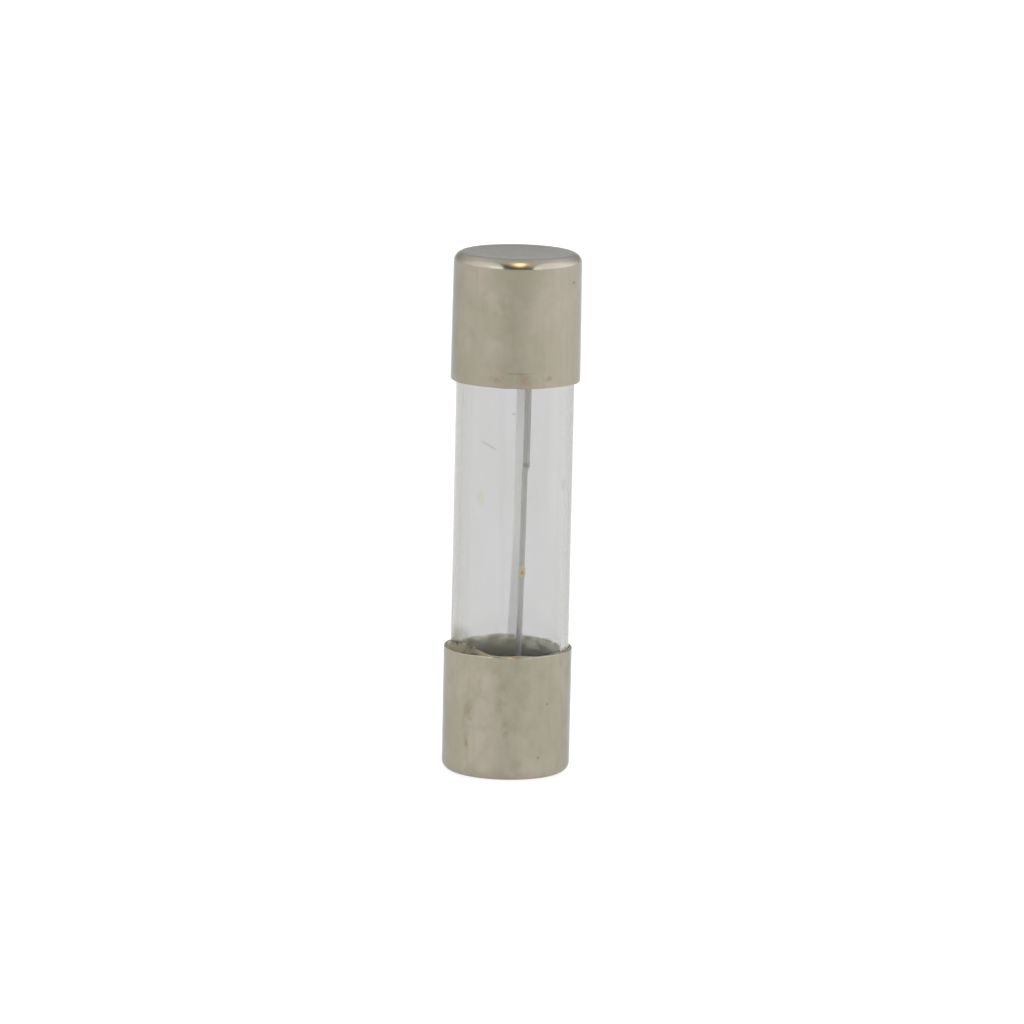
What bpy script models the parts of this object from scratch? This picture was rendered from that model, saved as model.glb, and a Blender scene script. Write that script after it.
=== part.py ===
"""Glass cartridge fuse, 5 x 20 mm size: two plated brass caps, a glass tube and a soldered fuse wire.

The fuse stands on its lower cap. The origin is where the tube's axis meets that cap's end face,
+Z runs up the axis, and the wire is to the +X side of it. Both ends are described once, in an end
frame whose z = 0 is the cap's outer end face and whose +z points at the middle of the fuse; the
upper end is that frame turned over.
"""

import math
from collections import namedtuple

import bmesh
import bpy
from mathutils import Matrix, Vector

MM = 0.001

# Driving dimensions
OVERALL_LENGTH = 20.5 * MM
CAP_RADIUS = 2.5 * MM
CAP_WALL = 0.09 * MM
CAP_CORNER_RADIUS = 0.38 * MM
CAP_LIP_RADIUS = 0.03 * MM
UPPER_CAP_LENGTH = 5.00 * MM
LOWER_CAP_LENGTH = 4.92 * MM
UPPER_CAP_FLARE = 0.03 * MM
LOWER_CAP_FLARE = 0.01 * MM
LOWER_CAP_SHIFT = -0.07 * MM

TUBE_RADIUS = 2.31 * MM
TUBE_WALL = 0.30 * MM
TUBE_END_DEPTH = 0.55 * MM
TUBE_EDGE_RADIUS = 0.08 * MM

WIRE_RADIUS = 0.118 * MM
TINNED_RADIUS = 0.136 * MM
WIRE_END_DEPTH = 0.24 * MM
WIRE_LEAN = 0.15 * MM

# The wire's sideways offset from the axis at six heights. The solder that ran down it ends at
# TINNED_END, where it also has a slight kink.
TINNED_END = 12.0 * MM
WIRE_LINE = (
    (WIRE_END_DEPTH, 0.30 * MM),
    (4.7 * MM, 0.36 * MM),
    (8.0 * MM, 0.415 * MM),
    (TINNED_END - 0.25 * MM, 0.455 * MM),
    (TINNED_END + 0.15 * MM, 0.51 * MM),
    (OVERALL_LENGTH - WIRE_END_DEPTH, 0.54 * MM),
)

SOLDER_TOP_DEPTH = 0.52 * MM
SOLDER_DOME_EDGE = 0.62 * MM
SOLDER_DOME_TOP = 0.86 * MM

CEMENT_DEPTH = 3.30 * MM
CEMENT_RECESS = 0.12 * MM
CUTTER_OVERHANG = 1 * MM

# Clearance between neighbours, far under the 0.09 mm wall of the caps
GAP = 0.01 * MM
SOLDER_GAP = 0.02 * MM

RING_STEPS = 48
CORNER_STEPS = 6
EDGE_STEPS = 2
DOME_STEPS = 5
WIRE_SPAN_STEPS = 4
WIRE_BEVEL_RESOLUTION = 2
AXIS_MERGE = 0.001 * MM
SMOOTH_ANGLE = math.radians(35)

TUBE_BORE = TUBE_RADIUS - TUBE_WALL
CAP_BORE = CAP_RADIUS - CAP_WALL

# An end frame, and the length, mouth flare and sideways shift of the cap on it
FuseEnd = namedtuple("FuseEnd", "frame length flare shift")
ENDS = {
    "upper": FuseEnd(
        Matrix.Translation((0, 0, OVERALL_LENGTH)) @ Matrix.Rotation(math.pi, 4, "X"),
        UPPER_CAP_LENGTH,
        UPPER_CAP_FLARE,
        0,
    ),
    "lower": FuseEnd(Matrix.Identity(4), LOWER_CAP_LENGTH, LOWER_CAP_FLARE, LOWER_CAP_SHIFT),
}


def new_collection(name):
    collection = bpy.data.collections.new(name)
    bpy.context.scene.collection.children.link(collection)
    return collection


def clear_scene():
    for obj in list(bpy.data.objects):
        bpy.data.objects.remove(obj, do_unlink=True)


def make_material(name, colour, roughness, metallic, transmission=0.0):
    material = bpy.data.materials.new(name)
    material.use_nodes = True
    shader = material.node_tree.nodes["Principled BSDF"]
    shader.inputs["Base Color"].default_value = (*colour, 1.0)
    shader.inputs["Roughness"].default_value = roughness
    shader.inputs["Metallic"].default_value = metallic
    shader.inputs["Transmission Weight"].default_value = transmission
    return material


def arc(centre, radius, start, end, steps):
    """Points on a circle in the profile plane, from the start angle to the end angle in degrees."""
    angles = [math.radians(start + (end - start) * i / steps) for i in range(steps + 1)]
    return [(centre[0] + radius * math.cos(a), centre[1] + radius * math.sin(a)) for a in angles]


def turned(name, profile, closed, collection, material):
    """A body turned about Z from an outline of (radius, height) points, given down its outer side."""
    mesh = bpy.data.meshes.new(name)
    outline = bmesh.new()
    points = [outline.verts.new((radius, 0, height)) for radius, height in profile]
    for a, b in zip(points, points[1:]):
        outline.edges.new((a, b))
    if closed:
        outline.edges.new((points[-1], points[0]))
    outline.to_mesh(mesh)
    outline.free()
    mesh.materials.append(material)
    obj = bpy.data.objects.new(name, mesh)
    collection.objects.link(obj)
    screw = obj.modifiers.new("Turn", "SCREW")
    screw.axis = "Z"
    screw.angle = math.tau
    screw.steps = RING_STEPS
    screw.render_steps = RING_STEPS
    screw.use_merge_vertices = True
    screw.merge_threshold = AXIS_MERGE
    return obj


def subtract(obj, cutter):
    cut = obj.modifiers.new("Cut " + cutter.name, "BOOLEAN")
    cut.operation = "DIFFERENCE"
    cut.object = cutter


def shade_smooth(obj):
    """Applies the modifiers, because the angle between faces is read from the finished mesh."""
    graph = bpy.context.evaluated_depsgraph_get()
    mesh = bpy.data.meshes.new_from_object(obj.evaluated_get(graph), depsgraph=graph)
    obj.modifiers.clear()
    obj.data = mesh
    mesh.shade_smooth()
    mesh.set_sharp_from_angle(angle=SMOOTH_ANGLE)


def cap_profile(length, flare):
    """Inside of the end, inner wall, lip, outer wall and rounded end of a drawn cap, mouth up."""
    inner_corner = CAP_CORNER_RADIUS - CAP_WALL
    corner_x = CAP_RADIUS - CAP_CORNER_RADIUS
    lip_top = length - CAP_LIP_RADIUS
    mouth_outer = CAP_RADIUS + flare
    mouth_inner = mouth_outer - CAP_WALL
    profile = [(0, CAP_WALL)]
    profile += arc((corner_x, CAP_CORNER_RADIUS), inner_corner, -90, 0, CORNER_STEPS // 2)
    profile += arc((mouth_inner + CAP_LIP_RADIUS, lip_top), CAP_LIP_RADIUS, 180, 90, EDGE_STEPS)
    profile += arc((mouth_outer - CAP_LIP_RADIUS, lip_top), CAP_LIP_RADIUS, 90, 0, EDGE_STEPS)
    profile += arc((corner_x, CAP_CORNER_RADIUS), CAP_CORNER_RADIUS, 0, -90, CORNER_STEPS)
    profile += [(0, 0)]
    return profile


def make_cap(name, end, collection, material):
    cap = turned(name, cap_profile(end.length, end.flare), False, collection, material)
    cap.matrix_world = Matrix.Translation((end.shift, 0, 0)) @ end.frame
    return cap


def make_tube(collection, material):
    low = TUBE_END_DEPTH
    high = OVERALL_LENGTH - TUBE_END_DEPTH
    edge = TUBE_EDGE_RADIUS
    outer = TUBE_RADIUS - edge
    inner = TUBE_BORE + edge
    profile = arc((outer, high - edge), edge, 90, 0, EDGE_STEPS)
    profile += arc((outer, low + edge), edge, 0, -90, EDGE_STEPS)
    profile += arc((inner, low + edge), edge, 270, 180, EDGE_STEPS)
    profile += arc((inner, high - edge), edge, 180, 90, EDGE_STEPS)
    return turned("glass_tube", profile, True, collection, material)


def wire_guides(growth):
    """Guide points up the wire, which leans slightly to the back on its way up."""
    guides = [Vector((x, WIRE_LEAN * (2 * z / OVERALL_LENGTH - 1), z)) for z, x in WIRE_LINE]
    guides[0].z -= growth
    guides[-1].z += growth
    return guides


def smooth_route(guides):
    """Points on a Catmull-Rom curve through the guide points."""
    ends = [2 * guides[0] - guides[1]] + guides + [2 * guides[-1] - guides[-2]]
    route = []
    for p0, p1, p2, p3 in zip(ends, ends[1:], ends[2:], ends[3:]):
        # The tangents are scaled to the span, so that a short span beside a long one has no loop.
        span = (p2 - p1).length
        start = (p2 - p0) * span / (span + (p1 - p0).length)
        stop = (p3 - p1) * span / (span + (p3 - p2).length)
        for i in range(WIRE_SPAN_STEPS):
            t = i / WIRE_SPAN_STEPS
            route.append(
                p1 * (1 + 2 * t) * (1 - t) ** 2
                + start * t * (1 - t) ** 2
                + p2 * t * t * (3 - 2 * t)
                + stop * t * t * (t - 1)
            )
    route.append(guides[-1])
    return route


def make_wire(name, growth, collection, material):
    """The fuse wire as a closed mesh, larger by growth all round."""
    curve = bpy.data.curves.new(name, "CURVE")
    curve.dimensions = "3D"
    curve.bevel_depth = 1.0
    curve.bevel_resolution = WIRE_BEVEL_RESOLUTION
    curve.use_fill_caps = True
    route = smooth_route(wire_guides(growth))
    spline = curve.splines.new("POLY")
    spline.points.add(len(route) - 1)
    for point, place in zip(spline.points, route):
        point.co = (*place, 1)
        point.radius = (TINNED_RADIUS if place.z > TINNED_END else WIRE_RADIUS) + growth
    guide = bpy.data.objects.new(name + "_curve", curve)
    collection.objects.link(guide)
    graph = bpy.context.evaluated_depsgraph_get()
    mesh = bpy.data.meshes.new_from_object(guide.evaluated_get(graph), depsgraph=graph)
    bpy.data.objects.remove(guide, do_unlink=True)
    mesh.name = name
    welded = bmesh.new()
    welded.from_mesh(mesh)
    bmesh.ops.remove_doubles(welded, verts=welded.verts, dist=AXIS_MERGE)
    welded.to_mesh(mesh)
    welded.free()
    mesh.materials.clear()
    mesh.materials.append(material)
    wire = bpy.data.objects.new(name, mesh)
    collection.objects.link(wire)
    return wire


def solder_profile(side_room):
    """A pool that fills the cap's end, with a low dome standing up inside the tube's bore.

    The pool is round the tube's axis, so side_room is how far the cap's own axis is from it.
    """
    floor = CAP_WALL + SOLDER_GAP
    corner_radius = CAP_CORNER_RADIUS - CAP_WALL - SOLDER_GAP
    corner_x = CAP_RADIUS - CAP_CORNER_RADIUS - side_room
    rim = corner_x + corner_radius
    dome_edge_x = TUBE_BORE - SOLDER_GAP
    profile = []
    for i in range(DOME_STEPS + 1):
        share = i / DOME_STEPS
        height = SOLDER_DOME_EDGE + (SOLDER_DOME_TOP - SOLDER_DOME_EDGE) * (1 - share * share)
        profile.append((dome_edge_x * share, height))
    profile += [(dome_edge_x, SOLDER_TOP_DEPTH), (rim, SOLDER_TOP_DEPTH)]
    corner = (corner_x, floor + corner_radius)
    profile += arc(corner, corner_radius, 0, -90, CORNER_STEPS // 2)
    profile += [(0, floor)]
    return profile


def make_solder(name, end, cutter, collection, material):
    solder = turned(name, solder_profile(abs(end.shift)), False, collection, material)
    solder.matrix_world = end.frame
    subtract(solder, cutter)
    return solder


def make_cylinder(name, low_radius, high_radius, low, high, collection):
    mesh = bpy.data.meshes.new(name)
    body = bmesh.new()
    bmesh.ops.create_cone(
        body,
        cap_ends=True,
        segments=RING_STEPS,
        radius1=low_radius,
        radius2=high_radius,
        depth=high - low,
        matrix=Matrix.Translation((0, 0, (low + high) / 2)),
    )
    body.to_mesh(mesh)
    body.free()
    obj = bpy.data.objects.new(name, mesh)
    collection.objects.link(obj)
    return obj


def make_cement(name, end, collection, cutters, material):
    """The cement between a cap's mouth and the glass, thicker where the cap stands off the tube."""
    high = end.length - CEMENT_RECESS
    straight = end.length - CAP_LIP_RADIUS - CAP_CORNER_RADIUS
    low_radius, high_radius = (
        CAP_BORE - GAP + end.flare * (depth - CAP_CORNER_RADIUS) / straight
        for depth in (CEMENT_DEPTH, high)
    )
    cement = make_cylinder(name, low_radius, high_radius, CEMENT_DEPTH, high, collection)
    cement.matrix_world = Matrix.Translation((end.shift, 0, 0)) @ end.frame
    cement.data.materials.append(material)
    inside = TUBE_RADIUS + GAP
    bore_low = CEMENT_DEPTH - CUTTER_OVERHANG
    bore_high = high + CUTTER_OVERHANG
    bore = make_cylinder(name + "_bore", inside, inside, bore_low, bore_high, cutters)
    bore.matrix_world = end.frame
    subtract(cement, bore)
    return cement


def hide_helpers(collection):
    for obj in collection.objects:
        obj.hide_render = True
        obj.display_type = "WIRE"


def main():
    clear_scene()
    fuse = new_collection("cartridge_fuse")
    cutters = new_collection("cutters")

    nickel = make_material("nickel_plate", (0.64, 0.60, 0.51), 0.32, 1.0)
    glass = make_material("clear_glass", (0.90, 0.91, 0.91), 0.02, 0.0, 1.0)
    tin = make_material("tinned_wire", (0.46, 0.45, 0.43), 0.35, 1.0)
    solder = make_material("solder", (0.55, 0.55, 0.54), 0.40, 1.0)
    cement = make_material("cement", (0.17, 0.13, 0.07), 0.75, 0.0)

    wire = make_wire("fuse_wire", 0, fuse, tin)
    wire_cutter = make_wire("wire_cutter", SOLDER_GAP, cutters, tin)
    pieces = [make_tube(fuse, glass), wire]
    for side, end in ENDS.items():
        pieces += [
            make_cap(side + "_end_cap", end, fuse, nickel),
            make_solder(side + "_solder", end, wire_cutter, fuse, solder),
            make_cement(side + "_cement_ring", end, fuse, cutters, cement),
        ]
    bpy.context.view_layer.update()
    for piece in pieces:
        shade_smooth(piece)
    hide_helpers(cutters)


main()
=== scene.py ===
"""Looks of the glass cartridge fuse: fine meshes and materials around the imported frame.

The fuse stands on its lower cap with its axis on Z, and its front is -Y. Each end is made in an
end frame, where z = 0 is the cap's outer end face and +z points at the middle of the fuse.
"""

import math

import bmesh
import bpy
from mathutils import Euler, Matrix, Vector, noise


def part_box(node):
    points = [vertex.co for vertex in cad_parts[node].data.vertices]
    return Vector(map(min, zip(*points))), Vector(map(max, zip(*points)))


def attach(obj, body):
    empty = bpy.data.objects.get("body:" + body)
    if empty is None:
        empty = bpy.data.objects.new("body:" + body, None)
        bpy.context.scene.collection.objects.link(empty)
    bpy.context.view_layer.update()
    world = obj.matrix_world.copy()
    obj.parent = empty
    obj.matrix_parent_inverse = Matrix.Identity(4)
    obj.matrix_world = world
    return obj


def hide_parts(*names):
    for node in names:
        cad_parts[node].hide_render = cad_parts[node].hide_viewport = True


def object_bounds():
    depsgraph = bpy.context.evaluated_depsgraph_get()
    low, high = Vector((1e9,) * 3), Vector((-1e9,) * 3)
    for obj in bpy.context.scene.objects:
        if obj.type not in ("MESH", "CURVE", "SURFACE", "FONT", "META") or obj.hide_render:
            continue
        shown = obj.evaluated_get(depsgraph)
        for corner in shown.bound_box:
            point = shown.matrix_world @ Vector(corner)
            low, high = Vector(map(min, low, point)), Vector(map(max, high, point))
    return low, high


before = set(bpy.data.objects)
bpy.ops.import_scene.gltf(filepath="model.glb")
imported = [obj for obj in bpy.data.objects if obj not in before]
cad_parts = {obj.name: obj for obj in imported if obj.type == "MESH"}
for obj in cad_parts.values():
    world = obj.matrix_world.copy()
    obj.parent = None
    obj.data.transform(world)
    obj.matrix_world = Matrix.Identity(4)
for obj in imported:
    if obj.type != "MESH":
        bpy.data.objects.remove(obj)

CAD_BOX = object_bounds()
MM = 0.001

# Thin walls and edges, which the frame's boxes don't give
CAP_WALL = 0.09 * MM
CAP_CORNER_RADIUS = 0.38 * MM
CAP_LIP_RADIUS = 0.030 * MM
CAP_END_DISH = 0.015 * MM
TUBE_WALL = 0.30 * MM
TUBE_EDGE_RADIUS = 0.10 * MM
SOLDER_RIM_DEPTH = 0.52 * MM
FIT_GAP = 0.006 * MM

# The smear of cement on the glass above the lower cap: its middle and half width in degrees
# round from +X, and how far it climbs
SMEAR_CENTRE = 212
SMEAR_HALF_ANGLE = 44
SMEAR_CLIMB = 0.46 * MM

# The wire's line as (height, sideways offset, radius): it is thicker above the kink, where
# solder ran down it
WIRE_LEAN = 0.15 * MM
WIRE_LINE = (
    (0.24 * MM, 0.30 * MM, 0.118 * MM),
    (4.70 * MM, 0.36 * MM, 0.118 * MM),
    (8.00 * MM, 0.415 * MM, 0.118 * MM),
    (11.75 * MM, 0.455 * MM, 0.120 * MM),
    (12.15 * MM, 0.51 * MM, 0.138 * MM),
    (20.26 * MM, 0.54 * MM, 0.138 * MM),
)
WICK_TIP = 12.06 * MM
FLUX_BEAD_HEIGHT = 7.88 * MM

ROUND_STEPS = 256
WIRE_SIDES = 32

# Camera, from near the fuse's middle
CAMERA_ELEVATION = math.radians(9.99)
CAMERA_ROLL = math.radians(1.256)
CAMERA_DISTANCE = 0.318
CAMERA_LENS = 286.2
CAMERA_AIM = Vector((-0.0195 * MM, 0, -0.016 * MM))
FLOOR_RADIUS = 4.0


# ---------------------------------------------------------------- meshes


def arc(centre, radius, start, end, steps):
    """Points on a circle in the profile plane, from the start angle to the end angle in degrees."""
    angles = [math.radians(start + (end - start) * i / steps) for i in range(steps + 1)]
    return [(centre[0] + radius * math.cos(a), centre[1] + radius * math.sin(a)) for a in angles]


def line(start, end, steps):
    """Points inside a straight stretch of a profile, without its two ends."""
    shares = [i / steps for i in range(1, steps)]
    return [
        (start[0] + (end[0] - start[0]) * t, start[1] + (end[1] - start[1]) * t) for t in shares
    ]


def mesh_object(name, mesh_data, material):
    bmesh.ops.recalc_face_normals(mesh_data, faces=mesh_data.faces)
    mesh = bpy.data.meshes.new(name)
    mesh_data.to_mesh(mesh)
    mesh_data.free()
    mesh.materials.append(material)
    mesh.shade_smooth()
    obj = bpy.data.objects.new(name, mesh)
    bpy.context.scene.collection.objects.link(obj)
    return obj


def bridge(mesh_data, ring, after):
    """Faces between two rings of points, either of which may be a single point."""
    steps = max(len(ring), len(after))
    for j in range(steps):
        k = (j + 1) % steps
        if len(ring) == 1:
            mesh_data.faces.new((ring[0], after[j], after[k]))
        elif len(after) == 1:
            mesh_data.faces.new((ring[j], after[0], ring[k]))
        else:
            mesh_data.faces.new((ring[j], after[j], after[k], ring[k]))


def lathe(name, profile, material, closed=False, shape=None, place=None, steps=ROUND_STEPS):
    """A body turned about Z from (radius, height) points, given down its outer side.

    shape moves each point: it takes (angle, radius, height) and returns the new radius and height.
    """
    mesh_data = bmesh.new()
    rings = []
    for radius, height in profile:
        ring = []
        for j in range(1 if radius == 0 else steps):
            angle = math.tau * j / steps
            r, z = shape(angle, radius, height) if shape else (radius, height)
            ring.append(mesh_data.verts.new((r * math.cos(angle), r * math.sin(angle), z)))
        rings.append(ring)
    for ring, after in zip(rings, rings[1:]):
        bridge(mesh_data, ring, after)
    if closed:
        bridge(mesh_data, rings[-1], rings[0])
    if place:
        bmesh.ops.transform(mesh_data, matrix=place, verts=mesh_data.verts)
    return mesh_object(name, mesh_data, material)


def sweep(name, route, material, sides=WIRE_SIDES):
    """A round bar along nearly upright (place, radius) points, closed by a point at each end."""
    mesh_data = bmesh.new()
    rings = [[mesh_data.verts.new(route[0][0])]]
    places = [place for place, _ in route]
    for i, (place, radius) in enumerate(route):
        tangent = (places[min(i + 1, len(places) - 1)] - places[max(i - 1, 0)]).normalized()
        across = Vector((0, 1, 0)).cross(tangent).normalized()
        along = tangent.cross(across)
        ring = []
        for j in range(sides):
            angle = math.tau * j / sides
            ring.append(
                mesh_data.verts.new(
                    place + (across * math.cos(angle) + along * math.sin(angle)) * radius
                )
            )
        rings.append(ring)
    rings.append([mesh_data.verts.new(route[-1][0])])
    for ring, after in zip(rings, rings[1:]):
        bridge(mesh_data, ring, after)
    return mesh_object(name, mesh_data, material)


def ripple(angle, height, scale, seed):
    """Smooth noise from -1 to 1 round a body, with features of about scale."""
    radius = 2.4 * MM
    place = Vector((radius * math.cos(angle), radius * math.sin(angle), height)) / scale
    return noise.noise(place + Vector((seed, 0, 0)))


# ---------------------------------------------------------------- shader nodes


def new_material(name):
    material = bpy.data.materials.new(name)
    material.use_nodes = True
    tree = material.node_tree
    return material, tree, tree.nodes["Principled BSDF"]


def connect(tree, source, target):
    if isinstance(source, bpy.types.NodeSocket):
        tree.links.new(source, target)
    else:
        target.default_value = source


def add(tree, kind, *inputs, output=0, **settings):
    """Adds a node, sets its properties, and fills its first inputs with sockets or values."""
    node = tree.nodes.new(kind)
    for key, value in settings.items():
        setattr(node, key, value)
    for source, target in zip(inputs, node.inputs):
        connect(tree, source, target)
    return node.outputs[output]


def maths(tree, operation, *inputs):
    return add(tree, "ShaderNodeMath", *inputs, operation=operation)


def ramp(tree, value, low, high, to_low=0.0, to_high=1.0):
    """to_low below low, to_high above high, and a smooth step between."""
    node = tree.nodes.new("ShaderNodeMapRange")
    node.interpolation_type = "SMOOTHSTEP"
    for key, source in (
        ("Value", value),
        ("From Min", low),
        ("From Max", high),
        ("To Min", to_low),
        ("To Max", to_high),
    ):
        connect(tree, source, node.inputs[key])
    return node.outputs["Result"]


def mix(tree, factor, a, b, blend="MIX"):
    """Mixes two colours, each a socket or an (r, g, b)."""
    node = tree.nodes.new("ShaderNodeMix")
    node.data_type = "RGBA"
    node.blend_type = blend
    connect(tree, factor, node.inputs[0])
    for source, target in ((a, node.inputs[6]), (b, node.inputs[7])):
        connect(tree, (*source, 1.0) if isinstance(source, tuple) else source, target)
    return node.outputs[2]


def millimetres(tree, stretch=(1, 1, 1), offset=(0, 0, 0)):
    """The point on the object in millimetres, scaled by stretch."""
    place = add(tree, "ShaderNodeTexCoord", output=3)
    return add(
        tree,
        "ShaderNodeMapping",
        place,
        offset,
        (0, 0, 0),
        tuple(1000 * share for share in stretch),
        vector_type="POINT",
    )


def grain(tree, size, detail=2.0, stretch=(1, 1, 1), offset=(0, 0, 0)):
    """Noise from 0 to 1 with features of about size millimetres."""
    place = millimetres(tree, stretch, offset)
    node = tree.nodes.new("ShaderNodeTexNoise")
    connect(tree, place, node.inputs["Vector"])
    node.inputs["Scale"].default_value = 1 / size
    node.inputs["Detail"].default_value = detail
    return node.outputs[0]


def spot(tree, centre, radii, sharp=0.5):
    """1 inside an ellipsoid given in millimetres, falling smoothly to 0 outside it."""
    place = millimetres(tree)
    away = add(tree, "ShaderNodeVectorMath", place, centre, operation="SUBTRACT")
    away = add(tree, "ShaderNodeVectorMath", away, radii, operation="DIVIDE")
    length = add(tree, "ShaderNodeVectorMath", away, operation="LENGTH", output=1)
    return ramp(tree, length, sharp, 1.0, 1.0, 0.0)


def join(tree, *masks):
    """The largest of several masks."""
    result = masks[0]
    for mask in masks[1:]:
        result = maths(tree, "MAXIMUM", result, mask)
    return result


def bump(tree, shader, height, depth):
    """Bump from a 0 to 1 height, depth metres deep."""
    node = tree.nodes.new("ShaderNodeBump")
    node.inputs["Strength"].default_value = 1.0
    node.inputs["Distance"].default_value = depth
    connect(tree, height, node.inputs["Height"])
    tree.links.new(node.outputs[0], shader.inputs["Normal"])


# ---------------------------------------------------------------- materials


def front_point(radius, side, height):
    """A point in millimetres on the front of an upright cylinder, side millimetres off its axis."""
    return (side, -math.sqrt(radius * radius - side * side), height)


def nickel_material(name, seed, pits, brightness, painted_right_light, stains_and_painted_light=(), line_height=None):
    """Tarnished nickel plate: warm and olive clouds, faint drawing lines, specks and small pits, with a painted
    dark reflection down the front and painted light on its right side.
    """
    material, tree, shader = new_material(name)
    shader.inputs["Metallic"].default_value = 1.0
    # Plate this thin and worn brightens much less towards its edges than clean metal does.
    shader.inputs["Specular Tint"].default_value = (0.69, 0.72, 0.75, 1)
    offset = (seed, 0, 0)
    clouds = ramp(tree, grain(tree, 1.9, 3.0, offset=offset), 0.38, 0.62)
    low, high = Vector((0.308, 0.291, 0.228)) * brightness, Vector((0.350, 0.318, 0.266)) * brightness
    colour = mix(tree, clouds, tuple(low), tuple(high))
    blotch = ramp(tree, grain(tree, 0.55, 3.0, (1, 1, 0.7), offset), 0.45, 0.75)
    colour = mix(tree, maths(tree, "MULTIPLY", blotch, 0.7), colour, (0.285, 0.269, 0.212))
    parts = tree.nodes.new("ShaderNodeSeparateXYZ")
    tree.links.new(millimetres(tree), parts.inputs[0])
    x, y, z = parts.outputs
    # Painted reflection: a darker olive band down the middle of the front, standing in for the dark opening in
    # front of the cap.
    front = ramp(tree, y, -1.6, -0.6, 1.0, 0.0)
    painted_dark_reflection = ramp(tree, maths(tree, "ABSOLUTE", maths(tree, "ADD", x, 0.05)), 0.15, 0.95, 0.30, 0.0)
    colour = mix(tree, maths(tree, "MULTIPLY", painted_dark_reflection, front), colour, (0.22, 0.215, 0.165))
    # Painted light: the right side is made lighter, by as much as painted_right_light says.
    colour = mix(tree, ramp(tree, x, 0.6, 1.9, 0.0, painted_right_light), colour, (0.46, 0.418, 0.352))
    streaks = grain(tree, 0.20, 2.0, (1, 1, 0.06), offset)
    colour = mix(tree, ramp(tree, streaks, 0.40, 0.80, 0.0, 0.12), colour, (0.23, 0.21, 0.16))
    specks = ramp(tree, grain(tree, 0.14, 1.0, (1, 1, 1), offset), 0.72, 0.82, 0.0, 0.30)
    colour = mix(tree, specks, colour, (0.20, 0.17, 0.12))
    # Stains, and on the lower cap a painted highlight at the lip and painted shade along the bottom edge
    for centre, radii, strength, shade in stains_and_painted_light:
        patch_mask = maths(tree, "MULTIPLY", spot(tree, centre, radii, 0.1), ramp(tree, grain(tree, 0.3), 0.35, 0.6))
        colour = mix(tree, maths(tree, "MULTIPLY", patch_mask, strength), colour, shade)
    marks = join(tree, *[spot(tree, centre, (0.07, 0.2, 0.09), 0.2) for centre in pits])
    if line_height is not None:
        scored = spot(tree, (0.12, -2.53, line_height), (0.95, 0.8, 0.06), 0.1)
        broken = ramp(tree, grain(tree, 0.35, offset=offset), 0.30, 0.65, 0.1, 0.55)
        marks = maths(tree, "MAXIMUM", marks, maths(tree, "MULTIPLY", scored, broken))
    colour = mix(tree, maths(tree, "MULTIPLY", marks, 0.6), colour, (0.14, 0.11, 0.08))
    tree.links.new(colour, shader.inputs["Base Color"])
    worn = grain(tree, 0.5, 4.0, offset=offset)
    rough = maths(tree, "ADD", ramp(tree, worn, 0.3, 0.7, 0.13, 0.22), maths(tree, "MULTIPLY", marks, 0.2))
    tree.links.new(rough, shader.inputs["Roughness"])
    height = maths(tree, "SUBTRACT", maths(tree, "MULTIPLY", streaks, 0.25), marks)
    height = maths(tree, "ADD", height, maths(tree, "MULTIPLY", worn, 0.5))
    bump(tree, shader, height, 0.0015 * MM)
    return material


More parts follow.
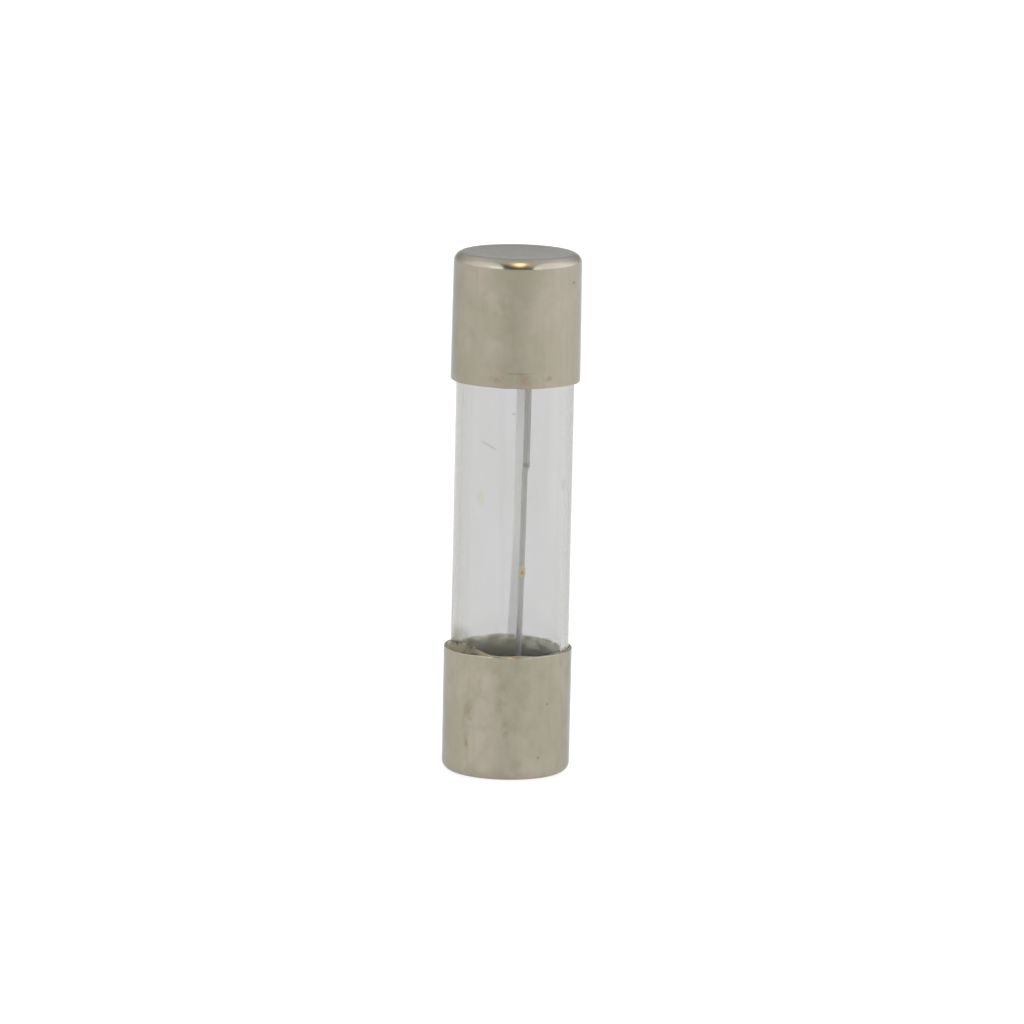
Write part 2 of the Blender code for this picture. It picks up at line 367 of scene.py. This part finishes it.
def glass_material(radius, bore, low, high):
    """Clear glass, tinted grey only where light crosses its outer face between the caps: painted shade, for the
    dimmer backdrop seen through it.

    So the tube is as grey near its sides, where a ray misses the bore, as it is in the middle.
    """
    material, tree, shader = new_material("clear_glass")
    shader.inputs["Transmission Weight"].default_value = 1.0
    shader.inputs["IOR"].default_value = 1.50
    shader.inputs["Specular Tint"].default_value = (0.7, 0.7, 0.7, 1)
    parts = tree.nodes.new("ShaderNodeSeparateXYZ")
    tree.links.new(millimetres(tree), parts.inputs[0])
    x, y, z = parts.outputs
    away = maths(tree, "SQRT", maths(tree, "ADD", maths(tree, "MULTIPLY", x, x), maths(tree, "MULTIPLY", y, y)))
    middle = (radius + bore) / 2 / MM
    outside = ramp(tree, away, middle - 0.02, middle + 0.02)
    bare = maths(tree, "MULTIPLY", ramp(tree, z, low / MM, low / MM + 0.08), ramp(tree, z, high / MM, high / MM + 0.08, 1.0, 0.0))

    tint_mottle = ramp(tree, grain(tree, 1.6, 3.0, (1, 1, 0.35)), 0.35, 0.70)
    colour = mix(tree, tint_mottle, (0.490, 0.497, 0.499), (0.508, 0.514, 0.530))
    # Grazing reflections would make the sides of the tube bright, so its tint deepens there.
    facing = add(tree, "ShaderNodeLayerWeight", 0.5, output=1)
    colour = mix(tree, ramp(tree, facing, 0.45, 0.90, 0.0, 0.8), colour, (0.08, 0.08, 0.08))
    # Painted highlight: a paler upright band near the tube's right side, in its upper part.
    lit = maths(tree, "MULTIPLY", ramp(tree, maths(tree, "ABSOLUTE", maths(tree, "SUBTRACT", x, 1.76)), 0.03, 0.28, 1.0, 0.0), ramp(tree, z, 8.0, 11.5))
    colour = mix(tree, maths(tree, "MULTIPLY", lit, 0.6), colour, (0.56, 0.56, 0.565))
    # Painted shade: the tube darkens towards its left side.
    colour = mix(tree, ramp(tree, x, -2.3, -1.7, 0.9, 0.0), colour, (0.42, 0.42, 0.41))
    radius = radius / MM
    film = ramp(tree, grain(tree, 0.5, 3.0), 0.30, 0.62, 0.4, 1.0)
    film = maths(tree, "MULTIPLY", film, spot(tree, (-2.0, -1.0, 5.2), (0.95, 1.8, 1.0), 0.2))
    colour = mix(tree, film, colour, (0.16, 0.16, 0.09))
    smear = spot(tree, front_point(radius, -1.24, 11.10), (0.24, 0.40, 0.46), 0.2)
    colour = mix(tree, smear, colour, (0.47, 0.46, 0.34))
    smudge = spot(tree, front_point(radius, 1.98, 11.60), (0.20, 0.40, 0.38), 0.1)
    colour = mix(tree, maths(tree, "MULTIPLY", smudge, 0.8), colour, (0.36, 0.37, 0.33))
    slope = maths(tree, "MULTIPLY_ADD", x, 0.5, maths(tree, "SUBTRACT", z, 12.72))
    scratch = ramp(tree, maths(tree, "ABSOLUTE", slope), 0.02, 0.09, 1.0, 0.0)
    scratch = maths(tree, "MULTIPLY", scratch, spot(tree, front_point(radius, -0.95, 13.19), (0.48, 0.8, 0.5), 0.2))
    dot = spot(tree, front_point(radius, -0.03, 14.49), (0.10, 0.4, 0.09), 0.2)
    scratch = maths(tree, "MULTIPLY", join(tree, scratch, dot), 0.65)
    colour = mix(tree, scratch, colour, (0.26, 0.29, 0.29))
    colour = mix(tree, maths(tree, "MULTIPLY", outside, bare), (1.0, 1.0, 1.0), colour)

    # Painted shadow of the wire: a faint grey band down the back of the bore, beside the wire.
    painted_shadow_x = ramp(tree, z, 3.8, 10.2, 0.08, 0.24)
    painted_wire_shadow = ramp(tree, maths(tree, "ABSOLUTE", maths(tree, "SUBTRACT", x, painted_shadow_x)), 0.14, 0.25, 1.0, 0.0)
    painted_wire_shadow = maths(tree, "MULTIPLY", painted_wire_shadow, ramp(tree, y, 0.5, 1.0))
    painted_wire_shadow = maths(tree, "MULTIPLY", painted_wire_shadow, maths(tree, "SUBTRACT", 1.0, outside))
    ends = ramp(tree, maths(tree, "ABSOLUTE", maths(tree, "SUBTRACT", z, 10.8)), 1.5, 4.0)
    grey = mix(tree, ends, (0.70, 0.70, 0.68), (0.52, 0.52, 0.50))
    colour = mix(tree, maths(tree, "MULTIPLY", painted_wire_shadow, ramp(tree, z, 4.4, 5.2)), colour, grey)
    tree.links.new(colour, shader.inputs["Base Color"])
    tree.links.new(maths(tree, "MULTIPLY", join(tree, smear, film), 0.15), shader.inputs["Roughness"])
    bump(tree, shader, grain(tree, 0.9, 2.0, (1, 1, 0.15)), 0.004 * MM)
    return material


def wire_material():
    """Tinned copper wire, duller and darker where solder ran down it."""
    material, tree, shader = new_material("tinned_wire")
    shader.inputs["Metallic"].default_value = 1.0
    height = add(tree, "ShaderNodeSeparateXYZ", millimetres(tree), output=2)
    tip_height = WICK_TIP / MM
    wicked = ramp(tree, height, tip_height - 0.08, tip_height + 0.12)
    tip = spot(tree, (0.48, 0.0, tip_height + 0.07), (0.3, 0.3, 0.16), 0.3)
    tone = grain(tree, 0.25, 3.0)
    colour = mix(tree, tone, (0.60, 0.60, 0.57), (0.72, 0.71, 0.68))
    colour = mix(tree, maths(tree, "MULTIPLY", wicked, 0.35), colour, (0.50, 0.50, 0.48))
    colour = mix(tree, maths(tree, "MULTIPLY", tip, 0.5), colour, (0.25, 0.25, 0.25))
    tree.links.new(colour, shader.inputs["Base Color"])
    tree.links.new(ramp(tree, tone, 0.3, 0.7, 0.35, 0.50), shader.inputs["Roughness"])
    bump(tree, shader, grain(tree, 0.06, 2.0, (1, 1, 0.3)), 0.002 * MM)
    return material


def solder_material():
    material, tree, shader = new_material("solder")
    shader.inputs["Metallic"].default_value = 1.0
    tone = grain(tree, 0.35, 4.0)
    tree.links.new(mix(tree, tone, (0.45, 0.45, 0.44), (0.66, 0.66, 0.64)), shader.inputs["Base Color"])
    tree.links.new(ramp(tree, tone, 0.3, 0.7, 0.25, 0.45), shader.inputs["Roughness"])
    bump(tree, shader, tone, 0.006 * MM)
    return material


def cement_material(low, high):
    """Resin cement, pale where it is open at a cap's mouth, and dark brown deeper inside the cap as painted shade.
    """
    material, tree, shader = new_material("cement")
    parts = tree.nodes.new("ShaderNodeSeparateXYZ")
    tree.links.new(millimetres(tree), parts.inputs[0])
    x, y, z = parts.outputs
    tone = grain(tree, 0.4, 4.0)
    wander = maths(tree, "MULTIPLY_ADD", tone, 0.5, -0.25)
    depth = maths(tree, "MAXIMUM", maths(tree, "SUBTRACT", low, z), maths(tree, "SUBTRACT", z, high))
    depth = maths(tree, "ADD", depth, wander)
    mottle = ramp(tree, tone, 0.35, 0.65)
    pale = mix(tree, mottle, (0.80, 0.78, 0.60), (0.94, 0.92, 0.76))
    olive = mix(tree, mottle, (0.15, 0.13, 0.07), (0.34, 0.31, 0.20))
    pale = mix(tree, ramp(tree, y, 0.2, 1.4), olive, pale)
    stained = maths(tree, "MULTIPLY", ramp(tree, x, -1.5, -0.5, 1.0, 0.0), ramp(tree, y, -0.6, 0.4, 1.0, 0.0))
    pale = mix(tree, stained, pale, (0.16, 0.14, 0.08))
    squeezed = mix(tree, mottle, (0.06, 0.057, 0.035), (0.16, 0.15, 0.105))
    squeezed = mix(tree, ramp(tree, y, -0.2, 1.2), squeezed, (0.69, 0.67, 0.54))
    pale = mix(tree, ramp(tree, maths(tree, "ADD", depth, wander), -0.06, 0.08), squeezed, pale)
    # Painted shade: the cement darkens to brown deeper inside the cap, where little light reaches.
    dark = mix(tree, mottle, (0.13, 0.11, 0.06), (0.24, 0.21, 0.13))
    colour = mix(tree, ramp(tree, depth, 0.0, 1.5), pale, dark)
    tree.links.new(colour, shader.inputs["Base Color"])
    # Painted light, as a faint glow: daylight that soaks down through the pale cement, most of it from the right
    painted_glow = maths(tree, "MULTIPLY", ramp(tree, depth, -0.04, 0.08), ramp(tree, depth, 0.18, 0.55, 1.0, 0.0))
    painted_glow = maths(tree, "MULTIPLY", painted_glow, ramp(tree, x, -1.6, 1.8, 0.35, 1.0))
    patches = grain(tree, 0.55, 4.0, stretch=(1, 1, 2.2), offset=(3.0, 1.0, 0.0))
    painted_glow = maths(tree, "MULTIPLY", painted_glow, ramp(tree, patches, 0.38, 0.62, 0.35, 1.65))
    tree.links.new(mix(tree, painted_glow, (0.0, 0.0, 0.0), pale), shader.inputs["Emission Color"])
    shader.inputs["Emission Strength"].default_value = 0.24
    # The smear on the glass thins out to nothing at its top
    tree.links.new(ramp(tree, maths(tree, "ADD", depth, wander), -0.42, -0.10), shader.inputs["Alpha"])
    shader.inputs["Subsurface Weight"].default_value = 1.0
    shader.inputs["Subsurface Radius"].default_value = (1.0, 0.95, 0.75)
    shader.inputs["Subsurface Scale"].default_value = 0.30 * MM
    tree.links.new(ramp(tree, tone, 0.3, 0.7, 0.45, 0.70), shader.inputs["Roughness"])
    bump(tree, shader, tone, 0.010 * MM)
    return material


def flux_material():
    """Glossy flux, cream at the rim of the drop and amber in its middle."""
    material, tree, shader = new_material("amber_flux")
    tone = grain(tree, 0.10, 2.0)
    cream = mix(tree, tone, (0.88, 0.74, 0.46), (1.0, 0.90, 0.64))
    amber = mix(tree, tone, (0.56, 0.34, 0.13), (0.74, 0.50, 0.22))
    middle = spot(tree, (0.43, -0.16, FLUX_BEAD_HEIGHT / MM), (0.07, 0.2, 0.12), 0.3)
    tree.links.new(mix(tree, middle, cream, amber), shader.inputs["Base Color"])
    shader.inputs["Roughness"].default_value = 0.15
    shader.inputs["Coat Weight"].default_value = 0.5
    return material


# ---------------------------------------------------------------- pieces


def end_places():
    """The end frames of the two caps, and the mouth radius and length of each, from the frame."""
    low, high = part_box("lower_end_cap")
    places = {
        "lower": (
            Matrix.Translation(((low[0] + high[0]) / 2, 0, low[2])),
            (high[0] - low[0]) / 2,
            high[2] - low[2],
        )
    }
    low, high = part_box("upper_end_cap")
    places["upper"] = (
        Matrix.Translation(((low[0] + high[0]) / 2, 0, high[2])) @ Matrix.Rotation(math.pi, 4, "X"),
        (high[0] - low[0]) / 2,
        high[2] - low[2],
    )
    return places


def cap_profile(mouth_radius, length):
    """Inside of the end, inner wall, lip, outer wall and rounded end of a drawn cap, mouth up."""
    end_radius = 2.5 * MM
    inner_corner = CAP_CORNER_RADIUS - CAP_WALL
    corner_x = end_radius - CAP_CORNER_RADIUS
    lip = CAP_LIP_RADIUS
    lip_top = length - lip
    mouth_inner = mouth_radius - CAP_WALL
    profile = [(0, CAP_WALL)]
    profile += line((0, CAP_WALL), (corner_x, CAP_WALL), 5)
    profile += arc((corner_x, CAP_CORNER_RADIUS), inner_corner, -90, 0, 8)
    profile += line((end_radius - CAP_WALL, CAP_CORNER_RADIUS), (mouth_inner, lip_top), 16)
    profile += arc((mouth_inner + lip, lip_top), lip, 180, 90, 4)
    profile += arc((mouth_radius - lip, lip_top), lip, 90, 0, 4)
    profile += line((mouth_radius, lip_top), (end_radius, CAP_CORNER_RADIUS), 44)
    profile += arc((corner_x, CAP_CORNER_RADIUS), CAP_CORNER_RADIUS, 0, -90, 16)
    profile += line((corner_x, 0), (0, 0), 10)
    profile += [(0, 0)]
    return profile


def make_cap(side, place, mouth_radius, length, material):
    seed = 7.0 if side == "upper" else 23.0

    def shape(angle, radius, height):
        # The drawn wall is a little out of round, and its sheared lip a little wavy.
        radius += 0.004 * MM * ripple(angle, height, 1.8 * MM, seed) * min(1, radius / MM)
        share = min(1, max(0, height / length))
        wave = ripple(angle, 0, 1.3 * MM, seed + 5) + 0.4 * ripple(angle, 0, 0.35 * MM, seed + 9)
        height += 0.022 * MM * wave * share**8
        # The end face is very slightly dished.
        if height < CAP_WALL * 1.5:
            dish = max(0, 1 - (radius / (2.0 * MM)) ** 2)
            height += CAP_END_DISH * dish
        return radius, height

    cap = lathe(
        side + "_cap_shell", cap_profile(mouth_radius, length), material, shape=shape, place=place
    )
    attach(cap, "root")
    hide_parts(side + "_end_cap")


def make_tube(lower_mouth, upper_mouth):
    low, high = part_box("glass_tube")
    radius = (high[0] - low[0]) / 2
    edge = TUBE_EDGE_RADIUS
    outer = radius - edge
    bore = radius - TUBE_WALL
    material = glass_material(radius, bore, lower_mouth, upper_mouth)
    inner = bore + edge
    top, bottom = high[2] - edge, low[2] + edge
    profile = arc((outer, top), edge, 90, 0, 6)
    profile += line((radius, top), (radius, bottom), 60)
    profile += arc((outer, bottom), edge, 0, -90, 6)
    profile += arc((inner, bottom), edge, 270, 180, 6)
    profile += line((bore, bottom), (bore, top), 60)
    profile += arc((inner, top), edge, 180, 90, 6)

    def shape(angle, r, z):
        # Drawn glass varies along its length much less than round it.
        wander = ripple(angle, z / 12, 1.1 * MM, 3.0 if r > outer else 11.0)
        return r + 0.005 * MM * wander, z

    tube = lathe("tube_glass", profile, material, closed=True, shape=shape)
    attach(tube, "root")
    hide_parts("glass_tube")
    return radius, bore


def wire_route(steps_per_mm=12):
    """(place, radius) up the wire, with a blunt tip where the solder that ran down it ends."""
    bottom, top = WIRE_LINE[0][0], WIRE_LINE[-1][0]
    count = round((top - bottom) / MM * steps_per_mm)
    route = []
    for i in range(count + 1):
        z = bottom + (top - bottom) * i / count
        for (z0, x0, r0), (z1, x1, r1) in zip(WIRE_LINE, WIRE_LINE[1:]):
            if z <= z1:
                break
        t = (z - z0) / (z1 - z0)
        ease = t * t * (3 - 2 * t) if z1 - z0 < MM else t
        x = x0 + (x1 - x0) * ease
        radius = r0 if z < WICK_TIP else max(r1, r0)
        # The solder gathers at its tip and lies unevenly on the wire above it.
        if z > WICK_TIP:
            tip = math.exp(-((z - WICK_TIP) / (0.18 * MM)) ** 2)
            radius += 0.012 * MM * tip + 0.004 * MM * noise.noise(Vector((0, 0, z / (0.5 * MM))))
        sway = 0.008 * MM * noise.noise(Vector((4.0, 0, z / (1.6 * MM))))
        y = WIRE_LEAN * (2 * z / (bottom + top) - 1)
        route.append((Vector((x + sway, y, z)), radius))
    return route


def make_wire(material, flux):
    route = wire_route()
    wire = sweep("element_wire", route, material)
    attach(wire, "root")
    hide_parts("fuse_wire")

    # A small drop of flux, caught on the wire
    half_length = 0.29 * MM
    centre, radius = min(route, key=lambda point: abs(point[0].z - FLUX_BEAD_HEIGHT))
    profile = []
    for i in range(17):
        share = 1 - i / 8
        bulge = math.sqrt(max(0, 1 - share * share))
        profile.append((radius * (0.6 + 0.68 * bulge), share * half_length))
    profile[0] = (0, half_length)
    profile[-1] = (0, -half_length)
    bead = lathe("flux_bead", profile, flux, place=Matrix.Translation(centre), steps=32)
    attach(bead, "root")


def make_solder(side, place, bore, material):
    """The pool in a cap's end, its top drawn up a little where it wets the glass and the wire."""
    low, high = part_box(side + "_solder")
    rim = (high[0] - low[0]) / 2
    floor = CAP_WALL + 0.02 * MM
    corner = CAP_CORNER_RADIUS - floor
    dome_top = high[2] - low[2] + floor
    edge_x = bore - 0.02 * MM
    profile = []
    for i in range(25):
        share = i / 24
        height = dome_top - 0.22 * MM * share * share + 0.05 * MM * share**10
        profile.append((edge_x * share, height))
    profile += [(edge_x, SOLDER_RIM_DEPTH), (rim, SOLDER_RIM_DEPTH)]
    profile += arc((rim - corner, floor + corner), corner, 0, -90, 8)
    profile += [(0, floor)]

    def shape(angle, radius, height):
        if height > SOLDER_RIM_DEPTH:
            height += 0.02 * MM * ripple(angle, radius * 3, 1.0 * MM, 31.0)
        return radius, height

    pool = lathe(side + "_solder_pool", profile, material, shape=shape, place=place)
    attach(pool, "root")
    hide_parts(side + "_solder")


def make_cement(side, place, tube_radius, mouth_radius, length, material):
    """Cement between cap and glass, with an uneven top that climbs the glass a little."""
    shift = place.translation.x
    low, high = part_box(side + "_cement_ring")
    depth = length - 0.12 * MM - (high[2] - low[2])
    outside = mouth_radius - CAP_WALL - 0.004 * MM
    top = length - 0.03 * MM
    inside = tube_radius + FIT_GAP
    profile = [(inside, depth)]
    profile += line((inside, depth), (inside, top), 10)
    profile += [(inside, top + 0.05 * MM)]
    for i in range(1, 8):
        share = i / 8
        sag = math.sin(math.pi * share)
        profile.append((inside + (outside - inside) * share, top + 0.05 * MM * (1 - share) - 0.04 * MM * sag))
    profile += [(outside, top)]
    profile += line((outside, top), (outside - 0.01 * MM, depth), 10)
    profile += [(outside - 0.01 * MM, depth)]

    def shape(angle, radius, height):
        # The ring's inner face follows the tube, whose axis is beside the cap's.
        outward = (radius - inside) / (outside - inside)
        x = radius * math.cos(angle) - shift * (1 - outward)
        y = radius * math.sin(angle)
        if height > depth + MM:
            share = (height - depth) / (top - depth)
            height += 0.04 * MM * share**4 * ripple(angle, 0, 0.8 * MM, 17.0)
            # Most of it was squeezed out at the back, over the cap's lip.
            back = math.sin(angle) * (1 if side == "lower" else -1)
            height += 0.05 * MM * share**4 * max(0, back)
            # At the lower cap's front left it also climbed the glass in a ragged smear.
            if side == "lower":
                turn = (math.degrees(angle) - SMEAR_CENTRE) / SMEAR_HALF_ANGLE
                ragged = 1 + 0.2 * ripple(angle, 0, 0.35 * MM, 41.0) + 0.15 * ripple(angle, 0, 0.12 * MM, 43.0)
                climb = SMEAR_CLIMB * max(0, 1 - turn * turn) ** 2 * ragged
                height += climb * share**4 * (1 - outward) ** 2
        return math.hypot(x, y), height

    ring = lathe(side + "_cement_fill", profile, material, closed=True, shape=shape, place=place)
    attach(ring, "root")
    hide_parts(side + "_cement_ring")


# ---------------------------------------------------------------- studio


def make_floor():
    """A lit white sweep, bright enough that the fuse throws almost no shadow on it."""
    material, tree, shader = new_material("white_floor")
    shader.inputs["Base Color"].default_value = (0.26, 0.26, 0.26, 1)
    shader.inputs["Roughness"].default_value = 0.9
    shader.inputs["Specular IOR Level"].default_value = 0.0
    shader.inputs["Emission Color"].default_value = (1, 1, 1, 1)
    shader.inputs["Emission Strength"].default_value = 0.83
    mesh_data = bmesh.new()
    bmesh.ops.create_circle(mesh_data, cap_ends=True, segments=96, radius=FLOOR_RADIUS)
    floor = mesh_object("studio_floor", mesh_data, material)
    floor.location.z = -0.00002


def make_world():
    """A pale studio: soft lights at both sides, and a warm lamp over a dark opening in front."""
    world = bpy.data.worlds.new("white_tent")
    world.use_nodes = True
    tree = world.node_tree
    direction = add(tree, "ShaderNodeTexCoord", output=0)
    parts = tree.nodes.new("ShaderNodeSeparateXYZ")
    tree.links.new(direction, parts.inputs[0])
    x, y, z = parts.outputs
    sideways = maths(tree, "ABSOLUTE", x)
    # 0 at the front horizon, a quarter turn overhead and a half turn at the back horizon
    climb = maths(tree, "ARCTAN2", z, maths(tree, "MULTIPLY", y, -1.0))
    climb = maths(tree, "MULTIPLY", climb, 180 / math.pi)

    # White along the horizon, grey low down behind, and paler overhead
    sky = mix(tree, ramp(tree, z, 0.20, 0.75), (0.67, 0.645, 0.615), (1.12, 1.11, 1.08))
    colour = mix(tree, ramp(tree, z, 0.02, 0.16), (1.0, 1.0, 0.99), sky)

    # A large soft light on each side, ending where the ceiling begins, brightest at its front edge
    on_left = ramp(tree, x, -0.1, 0.1, 1.0, 0.0)
    left = mix(tree, ramp(tree, y, -0.30, 0.05), (1.60, 1.64, 1.68), (1.45, 1.47, 1.48))
    left = mix(tree, ramp(tree, y, 0.10, 0.60), left, (1.08, 1.08, 1.05))
    right = mix(tree, ramp(tree, y, 0.45, 0.90), (1.72, 1.76, 1.80), (1.20, 1.19, 1.17))
    strength = mix(tree, on_left, right, left)
    strip_end = ramp(tree, x, -0.1, 0.1, 0.72, 0.60)
    strip = ramp(tree, maths(tree, "SUBTRACT", sideways, strip_end), 0.0, 0.10, 1.0, 0.0)
    strip = maths(tree, "MULTIPLY", strip, ramp(tree, z, 0.40, 0.62, 1.0, 0.0))
    strip = maths(tree, "MULTIPLY", strip, ramp(tree, y, -0.30, 0.0, 1.0, 0.0))
    strength = mix(tree, strip, strength, (2.40, 2.48, 2.56))
    aside = maths(tree, "ABSOLUTE", maths(tree, "ADD", x, -0.02))
    light = maths(tree, "MULTIPLY", ramp(tree, aside, 0.41, 0.485), ramp(tree, z, -0.02, 0.12))
    ceiling = ramp(tree, maths(tree, "ADD", y, z), 0.52, 1.34, 1.0, 0.0)
    colour = mix(tree, maths(tree, "MULTIPLY", light, ceiling), colour, strength)

    # The dark opening the picture is taken through, higher on its left, and the lamp above it
    opening = maths(tree, "MULTIPLY", ramp(tree, aside, 0.39, 0.465, 1.0, 0.0), ramp(tree, climb, -2, 8))
    top = maths(tree, "MULTIPLY_ADD", x, 37.5, climb)
    opening = maths(tree, "MULTIPLY", opening, ramp(tree, top, 18, 76, 1.0, 0.0))
    shade = mix(tree, ramp(tree, x, -0.2, 0.4), (0.20, 0.18, 0.145), (0.40, 0.36, 0.29))
    colour = mix(tree, opening, colour, shade)
    across = maths(tree, "DIVIDE", maths(tree, "SUBTRACT", x, 0.045), 0.25)
    along = maths(tree, "DIVIDE", maths(tree, "SUBTRACT", climb, 63), 46)
    away = add(tree, "ShaderNodeCombineXYZ", across, along)
    away = add(tree, "ShaderNodeVectorMath", away, operation="LENGTH", output=1)
    colour = mix(tree, ramp(tree, away, 0.60, 1.00, 1.0, 0.0), colour, (1.9, 1.25, 0.62))
    colour = mix(tree, ramp(tree, away, 0.30, 0.66, 1.0, 0.0), colour, (4.6, 4.1, 3.1))
    background = tree.nodes["Background"]
    tree.links.new(colour, background.inputs["Color"])
    background.inputs["Strength"].default_value = 1.0
    bpy.context.scene.world = world


def make_camera():
    """A long lens a little above the fuse, rolled so that the fuse leans to the right."""
    low, high = CAD_BOX
    middle = Vector((0, 0, (low[2] + high[2]) / 2))
    away = Vector((0, -math.cos(CAMERA_ELEVATION), math.sin(CAMERA_ELEVATION)))
    data = bpy.data.cameras.new("camera")
    data.lens = CAMERA_LENS
    data.sensor_width = 36.0
    data.clip_start = 0.01
    data.clip_end = 20.0
    camera = bpy.data.objects.new("camera", data)
    bpy.context.scene.collection.objects.link(camera)
    camera.location = middle + CAMERA_AIM + away * CAMERA_DISTANCE
    tilt = Euler((math.pi / 2 - CAMERA_ELEVATION, 0, 0)).to_matrix().to_4x4()
    roll = Matrix.Rotation(CAMERA_ROLL, 4, "Z")
    camera.rotation_euler = (tilt @ roll).to_euler()
    bpy.context.scene.camera = camera


def main():
    places = end_places()
    upper_pits = [front_point(2.5, 2.18, 19.51)]
    rust, olive, painted_lip_glint = (0.26, 0.20, 0.15), (0.22, 0.20, 0.12), (0.55, 0.38, 0.20)
    upper_stains = [
        (front_point(2.5, -0.75, 15.85), (0.60, 0.5, 0.26), 0.75, rust),
        (front_point(2.5, 0.35, 15.85), (0.45, 0.5, 0.34), 0.8, rust),
        (front_point(2.5, 1.25, 15.9), (0.25, 0.5, 0.20), 0.7, rust),
        (front_point(2.5, -0.1, 17.0), (0.6, 0.5, 0.9), 0.25, rust),
        (front_point(2.5, -0.5, 18.6), (0.6, 0.5, 0.6), 0.30, olive),
    ]
    lower_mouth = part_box("lower_end_cap")[1].z
    upper_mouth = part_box("upper_end_cap")[0].z
    lower_stains_and_painted_light = [
        # Painted highlight of the warm lamp on the front of the lip, in orange
        (front_point(2.5, -0.55, lower_mouth / MM), (0.45, 0.5, 0.09), 1.0, painted_lip_glint),
        (front_point(2.5, 0.05, lower_mouth / MM), (0.30, 0.5, 0.07), 1.0, painted_lip_glint),
        (front_point(2.5, -1.55, 2.6), (0.35, 0.6, 0.8), 0.55, olive),
        (front_point(2.5, -1.62, 1.3), (0.14, 0.5, 0.8), 0.75, olive),
        (front_point(2.5, -0.30, 3.3), (0.35, 0.5, 1.0), 0.5, olive),
        (front_point(2.5, -0.10, 2.1), (0.22, 0.5, 0.6), 0.65, olive),
        (front_point(2.5, -0.45, 4.4), (0.4, 0.5, 0.5), 0.35, olive),
        # Painted shade: darker along the bottom edge, where the cap meets the floor
        (front_point(2.5, 0.10, 0.26), (1.9, 1.2, 0.26), 0.3, rust),
    ]
    lower_pits = [front_point(2.5, 1.52, 3.0), front_point(2.5, 1.20, 0.9)]
    nickel = {
        "upper": nickel_material("upper_nickel", 1.7, upper_pits, 1.0, 0.42, upper_stains, 16.09),
        "lower": nickel_material("lower_nickel", 9.2, lower_pits, 1.06, 0.08, lower_stains_and_painted_light),
    }
    solder = solder_material()
    cement = cement_material(lower_mouth / MM, upper_mouth / MM)
    tube_radius, bore = make_tube(lower_mouth, upper_mouth)
    make_wire(wire_material(), flux_material())
    for side, (place, mouth_radius, length) in places.items():
        make_cap(side, place, mouth_radius, length, nickel[side])
        axis = Matrix.Translation((-place.translation.x, 0, 0)) @ place
        make_solder(side, axis, bore, solder)
        make_cement(side, place, tube_radius, mouth_radius, length, cement)
    make_floor()
    make_world()
    make_camera()
    bpy.context.scene.view_settings.view_transform = "Standard"


main()
